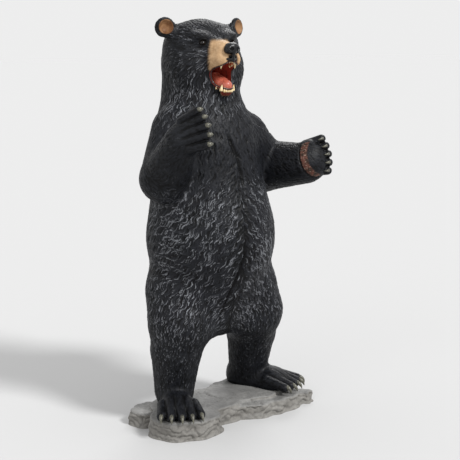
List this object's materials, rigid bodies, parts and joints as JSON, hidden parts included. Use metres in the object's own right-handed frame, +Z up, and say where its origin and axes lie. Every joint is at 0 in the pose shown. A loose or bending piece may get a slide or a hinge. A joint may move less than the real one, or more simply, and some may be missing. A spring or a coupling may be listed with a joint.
{
  "type": "bear statue",
  "caption": "Roaring black bear standing upright on a low rock slab, mouth open, one paw raised to the chest and one held out, cast and painted for gardens and halls.",
  "frame": {"origin": "on the flat underside of the rock, straight below the middle of the bear's body", "axes": "+Z up, -Y the way that the bear faces, +X to the bear's left"},
  "size_m": [0.8364, 0.5899, 1.6741],
  "materials": {
    "coat": "charcoal black painted resin, cool grey dry-brushed on the raised fur",
    "stone": "grey painted resin with a darker wash in the cracks",
    "muzzle": "tan painted short fur",
    "claw": "olive grey paint under satin lacquer",
    "tooth": "ivory gloss paint",
    "mouth": "dark red gloss paint",
    "tongue": "coral pink gloss paint",
    "nose": "black gloss paint",
    "eye": "dark brown gloss lacquer"
  },
  "bodies": {
    "root": {"bear": "coat", "rock_base": "stone"}
  },
  "joints": []
}
